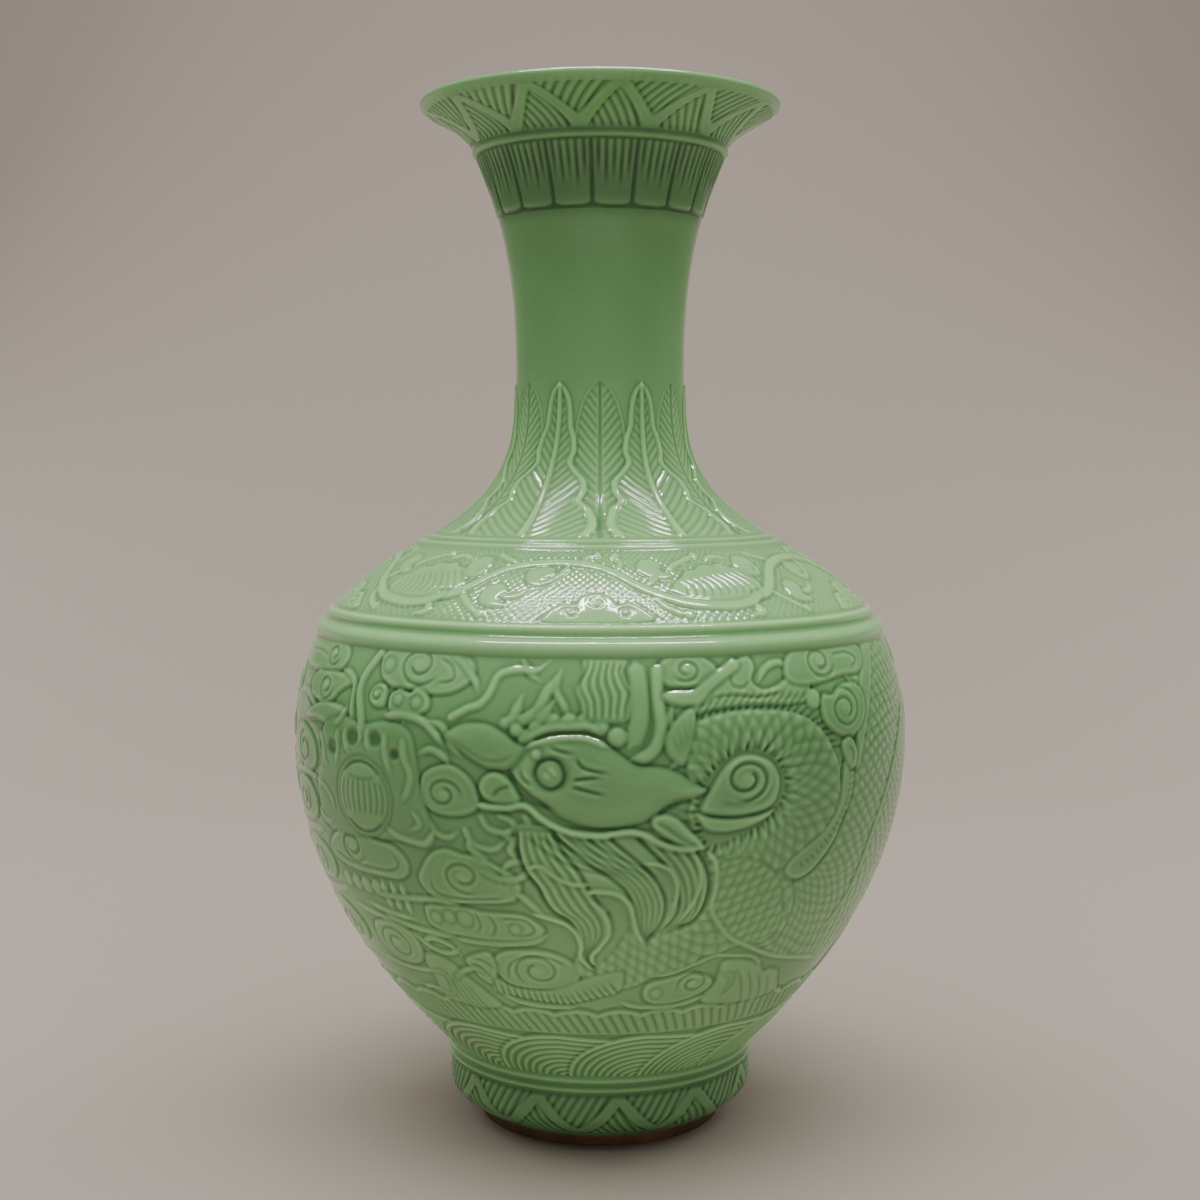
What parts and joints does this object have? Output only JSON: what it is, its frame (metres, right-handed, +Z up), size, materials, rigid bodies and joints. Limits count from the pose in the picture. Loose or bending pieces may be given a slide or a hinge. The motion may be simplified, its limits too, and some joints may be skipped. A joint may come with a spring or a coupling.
{
  "type": "porcelain vase",
  "caption": "Tall porcelain vase with a flaring trumpet mouth, narrow neck and broad rounded belly on a low foot ring.",
  "frame": {"origin": "centre of the foot ring, on the surface the vase stands on", "axes": "+Z up along the vase's turning axis; -Y faces the viewer, where the carved head looks left; +X to the viewer's right"},
  "size_m": [0.2422, 0.2422, 0.4014],
  "materials": {
    "glaze": "glossy green celadon glaze, darker where it pools in the carving",
    "bare_foot": "unglazed foot ring with a matt dark brown dressing",
    "slip": "matt fired luting slip"
  },
  "bodies": {
    "root": {"mouth": "glaze", "neck_tube": "glaze", "neck_root": "glaze", "shoulder": "glaze", "upper_belly": "glaze", "lower_belly": "glaze", "belly_bowl": "glaze", "foot_wall": "glaze", "base_floor": "glaze", "foot_rim": "bare_foot", "slip_mouth": "slip", "slip_neck_tube": "slip", "slip_neck_root": "slip", "slip_shoulder": "slip", "slip_belly": "slip", "slip_foot": "slip", "slip_floor": "slip", "slip_bowl": "slip"}
  },
  "joints": []
}
